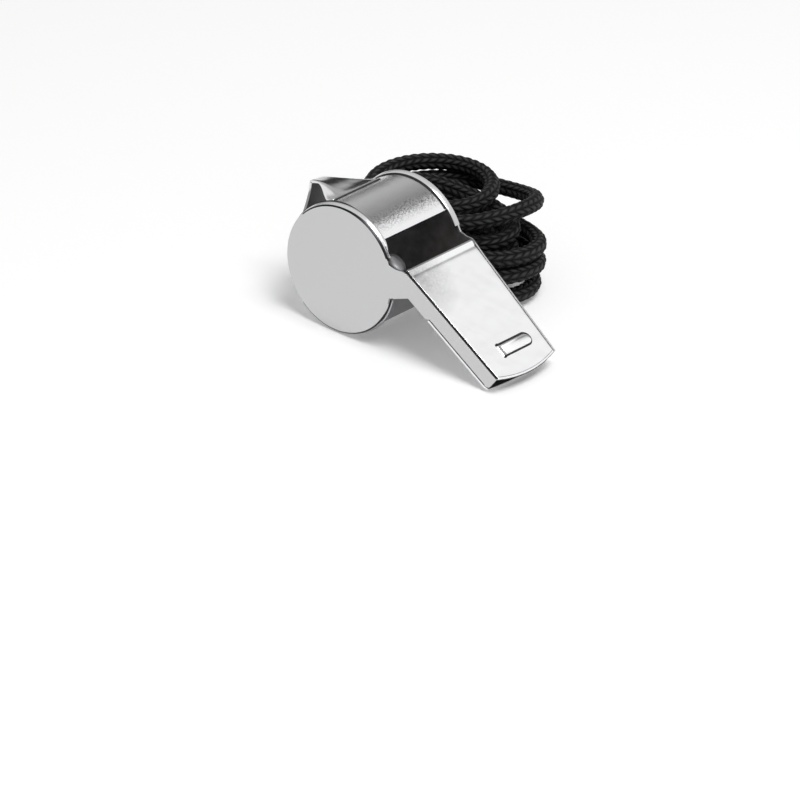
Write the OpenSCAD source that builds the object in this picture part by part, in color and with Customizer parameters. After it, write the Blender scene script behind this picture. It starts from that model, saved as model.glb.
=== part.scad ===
// Pressed-metal pea whistle with a braided neck cord, a crimped ferrule and a swivel snap hook.
// The whistle stands as it is laid down: on the round of its barrel and the lower edge of its mouthpiece tip.
// Millimetres, +Z up, +X towards the mouthpiece tip, Y along the barrel's axis.
// The origin lies on the floor, under the middle of the whistle's length.

/* [Barrel] */
// Outer diameter of the two round cheeks
cheek_d = 22.7; // [20:0.1:26]
// Overall width over both cheek faces
whistle_w = 19; // [17:0.1:24]
// Thickness of the pressed sheet
sheet_t = 0.45; // [0.3:0.05:0.6]
// Round at the edge of each cheek
cheek_edge_r = 0.5; // [0.5:0.05:1]
// Depth of the turned flange that laps over the barrel strip
flange_depth = 1.25; // [1.2:0.05:3]
// Angle round the barrel at which the strip ends in its sounding lip
lip_angle = 79; // [74:1:84]
// Angle round the barrel at which the strip leaves it for the mouthpiece floor
throat_angle = 24; // [18:1:28]

/* [Mouthpiece] */
// Distance from the barrel's axis to the mouthpiece tip at its corners
mouth_reach = 31.9; // [27:0.1:38]
// How far the top plate lies below the highest line of the barrel strip
plate_drop = 0.14; // [0:0.02:0.4]
// Outer height of the mouthpiece
mouth_h = 3.3; // [3.2:0.05:4.4]
// How far each side arm stands in from its cheek face where the window ends
arm_inset = 0.55; // [0.4:0.05:0.9]
// How much further each side arm comes in at the tip
arm_taper_in = 1.1; // [0.2:0.05:1.6]
// How far the convex tip stands out past its corners
tip_bulge = 1.1; // [0.4:0.1:2]
// Distance from the barrel's axis to the edge of the top plate at the window
window_edge_x = 8.5; // [8:0.1:9.4]
// Height of the slit that feeds air to the window
slit_h = 0.9; // [0.6:0.05:1.2]
// Length of the tooth ridge across the top plate
ridge_len = 8; // [5:0.5:11]
// Width of the tooth ridge
ridge_w = 2.6; // [2:0.1:3.4]
// Height of the tooth ridge over the top plate
ridge_h = 0.6; // [0.3:0.05:0.8]

/* [Cord strap] */
// How far the ridge of the strap stands off the barrel strip
strap_reach = 5.2; // [4:0.1:6]
// Width of the strap at its ridge
strap_ridge_w = 3.5; // [2.5:0.1:5]
// Width of the strap at its roots on the barrel
strap_root_w = 12.4; // [8:0.1:14]
// Thickness of the strap
strap_t = 0.6; // [0.4:0.05:0.8]
// Angle round the barrel of the strap's upper root
strap_top_angle = 150; // [145:1:155]
// Angle round the barrel of the strap's lower root
strap_low_angle = 215; // [206:1:222]

/* [Pea] */
// Diameter of the cork ball in the chamber
pea_d = 9; // [7:0.1:10]
// Play between the ball and the chamber wall
pea_play = 0.3; // [0.2:0.05:0.6]

/* [Lanyard fittings] */
// Outer diameter of the crimped ferrule
ferrule_d = 6.4; // [6.2:0.1:7]
// Length of the ferrule
ferrule_len = 7; // [6:0.1:9]
// Diameter of the swivel post
post_d = 1.5; // [1.2:0.05:1.8]
// Diameter of the swivel post's head
head_d = 2.7; // [2.5:0.05:2.9]
// Thickness of the swivel post's head
head_t = 0.8; // [0.6:0.05:1.1]
// Width of the hook across its loop
hook_w = 5.8; // [5.4:0.1:5.8]
// Length of the hook from its barrel to the end of its loop
hook_len = 18; // [17:0.1:21]
// Thickness of the hook's flat body
hook_t = 2.4; // [2.2:0.1:3]
// Thickness of the hook's wall round its eye
hook_wall = 1.25; // [1.1:0.05:1.4]
// Diameter of the rivet that the gate turns on
rivet_d = 0.8; // [0.6:0.05:1]

/* [Cord] */
// Diameter of the braided cord
cord_d = 2.7; // [2.4:0.1:2.7]
// Radius of the outer turns at their round ends
coil_r = 10; // [9.8:0.1:11]
// Rise of the outer turns from one to the next
coil_pitch = 3.15; // [3.15:0.01:3.3]

/* [Hidden] */

// Smoothness of drawn rounds
round_fn = 96;
small_fn = 40;
edge_steps = 8;
tip_steps = 16;
// One overrun for every cut
over = 1;
// Gap left between soldered or pressed pieces that meet
seat = 0.02;

// Barrel
cheek_r = cheek_d / 2;
half_w = whistle_w / 2;
strip_r = cheek_r - sheet_t - seat;
chamber_r = strip_r - sheet_t;
inner_half_w = half_w - max(cheek_edge_r, sheet_t) - seat;
// The flanges stop where the mouthpiece leaves the barrel
flange_start_angle = throat_angle - 4;
flange_stop_angle = throat_angle + 35;
window_angle = (throat_angle + lip_angle) / 2;
plate_z = strip_r - plate_drop;

// Mouthpiece, seen from the side: x from the barrel's axis, z above it
mouth_low_z = plate_z - mouth_h;
arm_top_z = plate_z - sheet_t / 3;
throat_x = strip_r * cos(throat_angle);
throat_z = strip_r * sin(throat_angle);
throat_run_share = 0.66;
knee_x = throat_x + (mouth_low_z - throat_z) * throat_run_share;
arm_corner_r = mouth_h / 4;
// Mouthpiece, seen from above: the arms leave the cheeks here and reach their taper at the knee
arm_start_x = cheek_r * 0.54;
arm_taper = arm_taper_in / (mouth_reach - window_edge_x);
arm_knee_y = half_w - arm_inset - arm_taper * (knee_x - window_edge_x);
function arm_y(x) = arm_knee_y - arm_taper * (x - knee_x);
floor_bulge = tip_bulge * 0.3;

// Windway ramp
ramp_lip_z = plate_z - sheet_t - slit_h;
ramp_lip_x = window_edge_x + sheet_t * 3;
ramp_foot_x = knee_x + (ramp_lip_z - mouth_low_z) * 2;

// The top plate lies in a fine groove between the arms
plate_gap = 0.12;

// Tooth ridge, a little towards the far side
ridge_x = mouth_reach - mouth_reach * 0.133;
ridge_y = ridge_len / 8;
ridge_r = (ridge_w * ridge_w / 4 + ridge_h * ridge_h) / 2 / ridge_h;

// Rest pose: the tilt at which barrel and mouthpiece tip both touch the floor
foot_x = mouth_reach + floor_bulge;
foot_dist = norm([foot_x, mouth_low_z]);
rest_tilt = 90 + atan2(mouth_low_z, foot_x) - acos(cheek_r / foot_dist);
function rest_x(x, z) = x * cos(rest_tilt) + z * sin(rest_tilt);

// Cord strap: its ridge and roots on the centre line of its sheet
strap_droop = -1.5;
strap_ridge_angle = (strap_top_angle + strap_low_angle) / 2 + strap_droop;
strap_ridge_dist = strip_r + strap_reach - strap_t / 2;
function on_circle(r, a) = [r * cos(a), r * sin(a)];
strap_ridge = on_circle(strap_ridge_dist, strap_ridge_angle);
strap_root_r = strip_r + strap_t / 2;

// The whistle's middle, over which the origin lies
front_x = rest_x(mouth_reach + tip_bulge, plate_z);
back_x = rest_x(strap_ridge[0], strap_ridge[1]) - strap_t / 2;
mid_x = (front_x + back_x) / 2;

// Pea
pea_r = pea_d / 2;
pea_orbit_r = chamber_r - pea_r - pea_play;
pea_y_share = 0.12;

// Lanyard fittings, along an axis that runs from the ferrule's mouth to the hook
ferrule_r = ferrule_d / 2;
mouth_at = [-33.4, 26.9];
chain_angle = -70;
post_fit = 0.06;
swivel_gap = 0.3;
crimp_depth = 0.35;
barrel_start = ferrule_len + swivel_gap;
barrel_r = hook_w / 3;
neck_len = hook_len * 0.075;
head_at = barrel_start + neck_len + swivel_gap;
cavity_r = head_d / 2 + swivel_gap * 0.8;
cavity_end = head_at + head_t + swivel_gap;
loop_r = hook_w / 2;
loop_end = barrel_start + hook_len;
loop_far_x = loop_end - loop_r;
loop_near_x = cavity_end + loop_r * 1.15;
eye_r = loop_r - hook_wall;
rivet_at = [loop_near_x - loop_r * 0.1, loop_r - hook_wall * 0.62];
gate_t = hook_t * 0.46;
gate_slot_t = gate_t + swivel_gap;
gate_end_x = loop_far_x - hook_wall * 0.3;
gate_low_z = loop_r - hook_wall;
gate_boss_r = hook_wall * 0.62;
slot_r = gate_boss_r + swivel_gap / 2;
ear_end_x = rivet_at[0] + gate_boss_r;

// Cord
cord_r = cord_d / 2;
cord_gap_min = 0.4;
lead_sides = 8;
coil_sides = 6;
rings_a_turn = 24;
pair_gap = 0.1;
pair_shift = cord_r + pair_gap / 2;
chain_dir = [cos(chain_angle), sin(chain_angle)];
chain_side = [-sin(chain_angle), cos(chain_angle)];
exit_run = cord_d * 1.2;
function mouth_point(side, back) =
    concat(mouth_at + chain_side * side * pair_shift - chain_dir * back, [ferrule_r]);

// Coil: the outer turns climb, the last one swings in over them, the inner turns come down again
coil_left_x = -15.8;
coil_long = 10;
// How far the right end of each outer turn stands out, and how far the inner turns do
outer_long_shares = [1.08, 1.14, 1.12, 0.69];
coil_y = 21.2;
inner_r = coil_r - coil_pitch - cord_gap_min;
first_extra = 0.25;
turns_up = 3.75;
turn_in_from = 4.2;
turn_in_turns = 0.3;
long_again_from = 4.3;
long_again_turns = 0.5;
turns_all = 7.75;
top_at = 4.2;
top_z = cord_r + first_extra + coil_pitch * top_at;
// Where turns are lifted at their right ends, and where the upper ones lean back: the turn, the half width in
// turns, and how far as a share of the cord's diameter
lift_shares = [[1.25, 0.3, 0.33], [2.25, 0.3, 0.33], [3.26, 0.32, 1.22]];
lean_shares = [[3.14, 0.34, 1.48], [4, 0.3, 0.37]];
function clamp01(v) = max(0, min(1, v));
function ease(v) = let (c = clamp01(v)) c * c * (3 - 2 * c);
function coil_angle(t) = 90 - 360 * t;
function coil_span(t) = coil_long * (t < turns_up ? outer_long_shares[floor(t + 1 / 4)]
    : ease((t - long_again_from) / long_again_turns));
function coil_radius(t) = coil_r - (coil_r - inner_r) * ease((t - turn_in_from) / turn_in_turns);
function total(v) = v * [for (i = [1 : len(v)]) 1];
function bump(t, shares) = cord_d * total([for (s = shares) s[2] * ease(1 - abs(t - s[0]) / s[1])]);
function coil_up_z(t) = cord_r + first_extra * clamp01(t) + coil_pitch * t + bump(t, lift_shares);
flat_turns = 0.05;
down_end = turns_all - flat_turns;
function coil_down_z(t) = cord_r + (top_z - cord_r) * clamp01((down_end - t) / (down_end - top_at));
function coil_z(t) = t < top_at ? coil_up_z(t) : coil_down_z(t);
function coil_point(t) =
    let (a = coil_angle(t), c = cos(a), bow = (3 * c - c * c * c) / 2, span = coil_span(t),
        r = coil_radius(t), lean = bump(t, lean_shares))
    [coil_left_x + span / 2 + span / 2 * bow + r * c, coil_y + r * sin(a) + lean, coil_z(t)];
coil_steps = rings_a_turn * turns_all;
coil_path = concat(
    [coil_point(0) - [cord_d, 0, 0]],
    [for (i = [0 : coil_steps]) coil_point(i / rings_a_turn)],
    [coil_point(turns_all) + [0, cord_d, 0]]);

// Free stretches of cord: points chosen by hand between the ferrule's mouth and the coil
lead_out_path = concat(
    [mouth_point(1, 0), mouth_point(1, exit_run)],
    [[-33.2, 32.6, 3.3], [-31, 34.8, 3.6], [-28, 35.6, 4.1], [-25, 35.4, 4.5], [-22.4, 34.6, 4.5],
     [-20.4, 33.3, 3.6], [-18.2, 32, 2.2]],
    [coil_path[0] - [cord_d, 0, 0], coil_path[0]]);
coil_last = coil_path[len(coil_path) - 1];
lead_back_path = concat(
    [coil_last, coil_last + [0, cord_d, 0]],
    [[-22.6, 30, 1.4], [-22.6, 33, 1.4], [-22.8, 36, 1.4], [-23.6, 39, 1.4], [-25.6, 41.2, 1.4],
     [-28.4, 42.1, 1.5], [-31.4, 41.6, 1.6], [-33.8, 39.6, 1.9], [-35.2, 36.8, 2.4], [-35.8, 33.6, 2.9]],
    [mouth_point(-1, exit_run), mouth_point(-1, 0)]);

function unit(v) = v / norm(v);
function tangent(p, i) = unit(p[min(i + 1, len(p) - 1)] - p[max(i - 1, 0)]);
function ring(at, dir, r, sides) =
    let (side = unit(cross(dir, [0, 0, 1])), up = cross(side, dir))
    [for (k = [0 : sides - 1]) at + r * cos(360 * k / sides) * side + r * sin(360 * k / sides) * up];

// A round cord swept along a list of points, with flat ends
module cord_tube(path, sides) {
    count = len(path);
    rings = [for (i = [0 : count - 1]) each ring(path[i], tangent(path, i), cord_r, sides)];
    walls = [for (i = [0 : count - 2], k = [0 : sides - 1])
        let (a = i * sides + k, b = i * sides + (k + 1) % sides)
        each [[a, b, b + sides], [a, b + sides, a + sides]]];
    last = (count - 1) * sides;
    caps = [for (k = [1 : sides - 2]) each [[0, k + 1, k], [last, last + k, last + k + 1]]];
    polyhedron(points = rings, faces = concat(walls, caps));
}

// Least gap between turns of the coil, measured on its points
function turn_gap(i, from) = min([for (k = [from : len(coil_path) - 1]) norm(coil_path[i] - coil_path[k])]);
half_turn = rings_a_turn / 2;
coil_gap = min([for (i = [0 : len(coil_path) - half_turn - 2]) turn_gap(i, i + half_turn)]) - cord_d;
echo(least_coil_gap = coil_gap, wanted_over = cord_gap_min);
function path_len(p) = len(p) < 2 ? 0 : [for (i = 0, s = 0; i < len(p) - 1;
    s = s + norm(p[i + 1] - p[i]), i = i + 1) s + norm(p[i + 1] - p[i])][len(p) - 2];
echo(cord_length = path_len(lead_out_path) + path_len(coil_path) + path_len(lead_back_path));

// Puts what is drawn about the barrel's axis, mouthpiece level, into the rest pose
module at_rest() {
    translate([-mid_x, 0, cheek_r]) rotate([0, rest_tilt, 0]) children();
}

// Stretches a side view, drawn in x and z, between two places along Y
module side_view(y_from, y_to) {
    translate([0, y_to, 0]) rotate([90, 0, 0]) linear_extrude(height = y_to - y_from) children();
}

// A straight piece of sheet in a side view, centred on the line from a to b
module sheet_run(a, b, t) {
    d = b - a;
    translate(a) rotate([0, 0, atan2(d[1], d[0])]) translate([0, -t / 2]) square([norm(d), t]);
}

// The space between the cheeks and arms, seen from above, with a convex tip and a gap at its sides
module inner_plan(bulge, gap = seat) {
    y_knee = arm_knee_y - sheet_t - gap;
    y_tip = arm_y(mouth_reach) - sheet_t - gap;
    side = [[-cheek_d, inner_half_w], [arm_start_x, inner_half_w], [knee_x, y_knee], [mouth_reach, y_tip]];
    tip = [for (i = [1 : tip_steps - 1]) let (s = 1 - 2 * i / tip_steps)
        [mouth_reach + bulge * (1 - s * s), y_tip * s]];
    other_side = [for (i = [len(side) - 1 : -1 : 0]) [side[i][0], -side[i][1]]];
    polygon(concat(side, tip, other_side));
}

// One cheek with its arm, its face towards +Y
module cheek_blank() {
    outer_arc = [for (i = [0 : edge_steps]) let (a = 90 - 90 * i / edge_steps)
        [cheek_r - cheek_edge_r + cheek_edge_r * cos(a), half_w - cheek_edge_r + cheek_edge_r * sin(a)]];
    in_r = cheek_edge_r - sheet_t;
    inner_arc = [for (i = [0 : edge_steps]) let (a = 90 * i / edge_steps)
        [cheek_r - cheek_edge_r + in_r * cos(a), half_w - cheek_edge_r + in_r * sin(a)]];
    low_y = half_w - flange_depth;
    pan = concat([[0, half_w - sheet_t], [0, half_w]], outer_arc,
        [[cheek_r, low_y], [cheek_r - sheet_t, low_y]], inner_arc);
    far_out = cheek_r * 2;
    difference() {
        rotate([-90, 0, 0]) rotate_extrude($fn = round_fn) polygon(pan);
        // the flange is left off where the mouthpiece leaves the barrel
        side_view(low_y - over, half_w - sheet_t) polygon([[0, 0],
            on_circle(far_out, flange_start_angle), on_circle(far_out, flange_stop_angle)]);
    }
    intersection() {
        side_view(0, half_w) arm_side();
        translate([0, 0, -cheek_r]) linear_extrude(height = cheek_d * 1.5) polygon([
            [arm_start_x, half_w], [knee_x, arm_knee_y], [mouth_reach + over, arm_y(mouth_reach + over)],
            [mouth_reach + over, arm_y(mouth_reach + over) - sheet_t],
            [knee_x, arm_knee_y - sheet_t], [arm_start_x, half_w - sheet_t]]);
    }
}

// Side view of the arm, with a rounded lower corner at the tip
module arm_side() {
    notch_z = arm_top_z - sheet_t * 2.4;
    corner_at = [mouth_reach - arm_corner_r, mouth_low_z + arm_corner_r];
    corner = [for (i = [0 : edge_steps]) corner_at + on_circle(arm_corner_r, -90 * i / edge_steps)];
    polygon(concat(
        [[arm_start_x, notch_z - sheet_t], [window_edge_x - sheet_t * 3, notch_z], [window_edge_x, arm_top_z],
         [mouth_reach, arm_top_z]],
        corner, [[knee_x, mouth_low_z], [throat_x, throat_z + sheet_t], [arm_start_x, throat_z]]));
}

module far_cheek() {
    color("gainsboro") at_rest() cheek_blank();
}

module near_cheek() {
    color("gainsboro") at_rest() mirror([0, 1, 0]) cheek_blank();
}

// One strip of sheet: from the sounding lip round the back and underside of the barrel, then out as the
// mouthpiece floor
module body_strip() {
    floor_z = mouth_low_z + sheet_t / 2;
    mid_r = strip_r - sheet_t / 2;
    start = on_circle(mid_r, throat_angle);
    color("silver") at_rest() intersection() {
        side_view(-half_w, half_w) {
            difference() {
                circle(r = strip_r, $fn = round_fn);
                circle(r = chamber_r, $fn = round_fn);
                polygon([[0, 0], on_circle(cheek_d, throat_angle), on_circle(cheek_d * 1.4, window_angle),
                    on_circle(cheek_d, lip_angle)]);
            }
            sheet_run(start, [knee_x, floor_z], sheet_t);
            translate([knee_x, floor_z]) circle(d = sheet_t, $fn = small_fn);
            translate(start) circle(d = sheet_t, $fn = small_fn);
            sheet_run([knee_x, floor_z], [mouth_reach + over, floor_z], sheet_t);
        }
        translate([0, 0, -cheek_d]) linear_extrude(height = cheek_d * 2) inner_plan(floor_bulge);
    }
}

// Top plate of the mouthpiece, with its rolled window edge and tooth ridge
module mouthpiece_top() {
    plate_low = plate_z - sheet_t;
    edge_half = arm_y(window_edge_x) - sheet_t * 1.6;
    ridge_end = ridge_len / 2;
    ridge_turn = ridge_end - ridge_w / 2;
    color("white") at_rest() {
        intersection() {
            translate([0, 0, plate_low]) linear_extrude(height = sheet_t) inner_plan(tip_bulge, plate_gap);
            translate([window_edge_x, -half_w, plate_low - over])
                cube([mouth_reach, whistle_w, sheet_t + over * 2]);
        }
        translate([window_edge_x + sheet_t / 2, edge_half, plate_low + sheet_t * 0.65])
            rotate([90, 0, 0]) cylinder(r = sheet_t / 2, h = edge_half * 2, $fn = small_fn);
        intersection() {
            // the ridge is cut square at its near end and round at its far end
            translate([ridge_x, ridge_y, plate_z + ridge_h - ridge_r]) {
                translate([0, ridge_turn, 0]) rotate([90, 0, 0])
                    cylinder(r = ridge_r, h = ridge_turn + ridge_end, $fn = round_fn);
                translate([0, ridge_turn, 0]) sphere(r = ridge_r, $fn = small_fn);
            }
            translate([0, -half_w, plate_z - sheet_t / 2]) cube([mouth_reach, whistle_w, ridge_h * 2]);
        }
    }
}

// Inner sheet that climbs from the mouthpiece floor to the slit and drops to the throat of the chamber
module windway_ramp() {
    t = sheet_t;
    foot = [ramp_foot_x, mouth_low_z + t * 1.5 + seat];
    lip = [ramp_lip_x, ramp_lip_z - t / 2];
    heel = [throat_x - t * 0.2, throat_z + t * 2.2];
    color("darkgray") at_rest() intersection() {
        side_view(-half_w, half_w) {
            sheet_run(foot, lip, t);
            sheet_run(lip, heel, t);
            translate(lip) circle(d = t, $fn = small_fn);
        }
        translate([0, 0, -cheek_d]) linear_extrude(height = cheek_d * 2) inner_plan(0);
    }
}

// Bent strap at the back of the barrel, wide at its roots and narrow at its ridge, for a ring or hook
module lanyard_strap() {
    top_root = on_circle(strap_root_r, strap_top_angle);
    low_root = on_circle(strap_root_r, strap_low_angle);
    root_x = -strip_r * 0.8;
    color("lightgray") at_rest() intersection() {
        side_view(-half_w, half_w) difference() {
            union() {
                sheet_run(strap_ridge, top_root, strap_t);
                sheet_run(strap_ridge, low_root, strap_t);
                translate(strap_ridge) circle(d = strap_t, $fn = small_fn);
                translate(top_root) circle(d = strap_t, $fn = small_fn);
                translate(low_root) circle(d = strap_t, $fn = small_fn);
            }
            circle(r = strip_r + seat, $fn = round_fn);
        }
        translate([0, 0, -cheek_d]) linear_extrude(height = cheek_d * 2) polygon([
            [strap_ridge[0] - strap_t, strap_ridge_w / 2], [root_x, strap_root_w / 2],
            [root_x, -strap_root_w / 2], [strap_ridge[0] - strap_t, -strap_ridge_w / 2]]);
    }
}

// Cork ball, lying at the lowest point of the chamber
module pea() {
    color("peru") translate([-mid_x, -whistle_w * pea_y_share, cheek_r - pea_orbit_r])
        sphere(r = pea_r, $fn = round_fn);
}

// Puts what is drawn along +X, its flat sides facing Y, onto the lanyard fittings' axis
module on_chain() {
    translate(concat(mouth_at, [ferrule_r])) rotate([0, 0, chain_angle]) children();
}

// Turns a shape drawn about Z so that it runs along X
module along_x(x) {
    translate([x, 0, 0]) rotate([0, 90, 0]) children();
}

// Ferrule crimped round both ends of the cord, with two rolled grooves and a bore for the swivel post
module cord_ferrule() {
    r = ferrule_r;
    g = crimp_depth;
    post_depth = ferrule_len * 0.3;
    outline_shares = [[0, 0], [0, 0.86], [0.04, 1], [0.2, 1], [0.24, 1 - g / r], [0.32, 1 - g / r], [0.36, 1],
        [0.5, 1], [0.54, 1 - g / r], [0.62, 1 - g / r], [0.66, 1], [0.84, 1], [1, 0.6], [1, 0]];
    color("silver") on_chain() difference() {
        along_x(0) rotate_extrude($fn = round_fn)
            polygon([for (s = outline_shares) [s[1] * r, s[0] * ferrule_len]]);
        along_x(ferrule_len - post_depth) cylinder(d = post_d, h = post_depth + over, $fn = small_fn);
    }
}

// Headed post, fast in the ferrule, that the hook turns on
module swivel_post() {
    start = ferrule_len * 0.7 + seat;
    color("dimgray") on_chain() {
        along_x(start) cylinder(d = post_d - seat * 2, h = head_at - start, $fn = small_fn);
        along_x(head_at) cylinder(d = head_d, h = head_t, $fn = small_fn);
    }
}

// Side view of the hook's loop
module loop_outline(r) {
    translate([loop_near_x, 0]) circle(r = r, $fn = round_fn);
    translate([loop_far_x, 0]) circle(r = r, $fn = round_fn);
    translate([loop_near_x, -r]) square([loop_far_x - loop_near_x, r * 2]);
}

// Snap hook: a barrel that holds the swivel post, and a flat loop that is open on its upper side for the gate
module hook_body() {
    mouth_low = gate_low_z - swivel_gap / 2;
    color("silver") on_chain() difference() {
        union() {
            along_x(barrel_start)
                cylinder(r = barrel_r, h = cavity_end + hook_wall - barrel_start, $fn = round_fn);
            side_view(-hook_t / 2, hook_t / 2) difference() {
                loop_outline(loop_r);
                loop_outline(eye_r);
                // the side that the gate closes
                translate([ear_end_x, mouth_low]) square([gate_end_x + swivel_gap - ear_end_x, hook_w]);
            }
        }
        along_x(barrel_start - over)
            cylinder(d = post_d + post_fit * 2, h = neck_len + over * 2, $fn = small_fn);
        along_x(barrel_start + neck_len)
            cylinder(r = cavity_r, h = cavity_end - barrel_start - neck_len, $fn = small_fn);
        // slot between the two ears that carry the rivet
        side_view(-gate_slot_t / 2, gate_slot_t / 2) translate(rivet_at) {
            circle(r = slot_r, $fn = small_fn);
            translate([0, -slot_r]) square([slot_r * 2, slot_r * 3]);
        }
        side_view(-hook_t, hook_t) translate(rivet_at) circle(d = rivet_d + seat * 2, $fn = small_fn);
    }
}

// Gate that closes the loop, turning inwards on the rivet
module hook_gate() {
    reach = gate_end_x - rivet_at[0];
    color("silver") on_chain() side_view(-gate_t / 2, gate_t / 2) difference() {
        union() {
            translate(rivet_at) circle(r = gate_boss_r, $fn = small_fn);
            translate([rivet_at[0], gate_low_z]) square([reach, hook_wall * 0.86]);
        }
        translate(rivet_at) circle(d = rivet_d + post_fit * 2, $fn = small_fn);
    }
}

// Rivet through both ears and the gate
module gate_rivet() {
    color("dimgray") on_chain() side_view(-hook_t / 2, hook_t / 2)
        translate(rivet_at) circle(d = rivet_d, $fn = small_fn);
}

module cord_lead_out() {
    color("black") cord_tube(lead_out_path, lead_sides);
}

module cord_coil() {
    color("black") cord_tube(coil_path, coil_sides);
}

module cord_lead_back() {
    color("black") cord_tube(lead_back_path, lead_sides);
}

near_cheek();
far_cheek();
body_strip();
mouthpiece_top();
windway_ramp();
lanyard_strap();
pea();
cord_ferrule();
swivel_post();
hook_body();
hook_gate();
gate_rivet();
cord_lead_out();
cord_coil();
cord_lead_back();
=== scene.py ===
"""Pressed-metal pea whistle with its wound braided neck cord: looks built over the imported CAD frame."""
import logging
import math
from dataclasses import dataclass
from enum import Enum
from typing import Callable

import bmesh
import bpy
import numpy as np
from mathutils import Matrix, Vector
from mathutils.geometry import delaunay_2d_cdt


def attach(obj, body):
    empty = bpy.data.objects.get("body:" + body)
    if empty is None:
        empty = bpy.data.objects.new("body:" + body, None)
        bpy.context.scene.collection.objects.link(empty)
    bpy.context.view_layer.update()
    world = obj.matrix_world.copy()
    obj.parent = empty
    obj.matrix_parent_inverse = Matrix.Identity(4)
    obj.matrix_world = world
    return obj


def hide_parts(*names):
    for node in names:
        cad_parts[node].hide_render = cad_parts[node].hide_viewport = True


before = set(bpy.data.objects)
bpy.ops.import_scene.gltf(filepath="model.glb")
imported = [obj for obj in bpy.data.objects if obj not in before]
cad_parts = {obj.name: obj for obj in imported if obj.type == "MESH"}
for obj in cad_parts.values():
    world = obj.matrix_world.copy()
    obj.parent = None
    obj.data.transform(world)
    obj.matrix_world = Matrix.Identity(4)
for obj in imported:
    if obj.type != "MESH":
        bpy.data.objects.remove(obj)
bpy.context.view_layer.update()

MM = 0.001
MATH, VECTOR_MATH, MAP_RANGE = "ShaderNodeMath", "ShaderNodeVectorMath", "ShaderNodeMapRange"
MIX, NOISE, STORE = "ShaderNodeMix", "ShaderNodeTexNoise", "GeometryNodeStoreNamedAttribute"
LOG = logging.getLogger("whistle")
Flat = tuple[float, float]
Point = tuple[float, float, float]


# Small helpers


def linear(code: str) -> tuple[float, float, float, float]:
    """Turns the six hex digits of an sRGB colour into linear red, green and blue with an alpha of 1."""
    parts = [int(code[i : i + 2], 16) / 255 for i in (0, 2, 4)]
    return (*[c / 12.92 if c <= 0.04045 else ((c + 0.055) / 1.055) ** 2.4 for c in parts], 1.0)


def add_node(tree: bpy.types.NodeTree, kind: str, inputs: dict | tuple = (),
             **settings: object) -> bpy.types.Node:
    """Adds a node with its settings, and sets or links its inputs.

    Args:
        tree: the tree that the node goes into.
        kind: the node's type name.
        inputs: what goes into each input, by name or number, or in order. A node stands for its first output.
        settings: attributes of the node.

    Returns:
        The new node.
    """
    node = tree.nodes.new(kind)
    for name, value in settings.items():
        setattr(node, name, value)
    for key, value in inputs.items() if isinstance(inputs, dict) else enumerate(inputs):
        if isinstance(value, bpy.types.Node):
            value = value.outputs[0]
        if isinstance(value, bpy.types.NodeSocket):
            tree.links.new(value, node.inputs[key])
        else:
            node.inputs[key].default_value = value
    return node


def new_material(name: str) -> tuple[bpy.types.Material, bpy.types.NodeTree, bpy.types.Node]:
    """Starts a material.

    Args:
        name: the material's name.

    Returns:
        The material, its tree and its shader.
    """
    material = bpy.data.materials.new(name)
    material.use_nodes = True
    return material, material.node_tree, material.node_tree.nodes["Principled BSDF"]


def smooth_step(value: float) -> float:
    """Eases a number from 0 to 1, and holds it at both ends."""
    held = max(0.0, min(1.0, value))
    return held * held * (3 - 2 * held)


def grid_faces(rows: int, across: int) -> list[list[int]]:
    """The faces, as point numbers, of a sheet given as rows of points, with so many faces side by side."""
    starts = [i * (across + 1) + j for i in range(rows - 1) for j in range(across)]
    return [[a, a + 1, a + across + 2, a + across + 1] for a in starts]


def tube_faces(rings: int, sides: int, first: int = 0) -> list[list[int]]:
    """The walls and the two end caps of a tube whose points are given ring by ring.

    Args:
        rings: how many rings of points there are.
        sides: how many points make a ring.
        first: the number of the first point.

    Returns:
        The point numbers of each face: walls, first cap and last cap.
    """
    faces = []
    for start in range(first, first + (rings - 1) * sides, sides):
        for k in range(sides):
            a, b = start + k, start + (k + 1) % sides
            faces.append([a, b, b + sides, a + sides])
    last = first + (rings - 1) * sides
    return faces + [list(range(first, first + sides)), list(range(last, last + sides))]


def mesh_object(name: str, verts: list, faces: list, material: bpy.types.Material,
                smooth_angle: float = 60.0) -> bpy.types.Object:
    """Makes a mesh object at the origin, in metres.

    Args:
        name: the object's name.
        verts: points in metres.
        faces: lists of point numbers.
        material: the finish of all its faces.
        smooth_angle: edges sharper than this, in degrees, stay sharp.

    Returns:
        The new object, linked to the scene.
    """
    mesh = bpy.data.meshes.new(name)
    mesh.from_pydata([tuple(v) for v in verts], [], [tuple(f) for f in faces])
    mesh.materials.append(material)
    mesh.validate()
    mesh.shade_smooth()
    mesh.set_sharp_from_angle(angle=math.radians(smooth_angle))
    return linked_object(name, mesh)


def linked_object(name: str, data: bpy.types.ID) -> bpy.types.Object:
    """Makes an object of a mesh, curve, camera or light.

    Args:
        name: the object's name.
        data: what it shows.

    Returns:
        The new object, linked to the scene.
    """
    thing = bpy.data.objects.new(name, data)
    bpy.context.scene.collection.objects.link(thing)
    return thing


def turn_faces(thing: bpy.types.Object, outward: Callable[[Vector], Vector] | None = None) -> None:
    """Makes the faces of a mesh agree, and turns them outwards.

    Args:
        thing: the object.
        outward: for an open sheet, gives the outward direction at a point. A closed shape needs none.
    """
    work = bmesh.new()
    work.from_mesh(thing.data)
    if outward is None:
        bmesh.ops.remove_doubles(work, verts=work.verts, dist=1e-7)
    bmesh.ops.recalc_face_normals(work, faces=work.faces)
    if outward and sum(f.normal.dot(outward(f.calc_center_median())) * f.calc_area() for f in work.faces) < 0:
        bmesh.ops.reverse_faces(work, faces=work.faces)
    work.to_mesh(thing.data)
    work.free()


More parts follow.
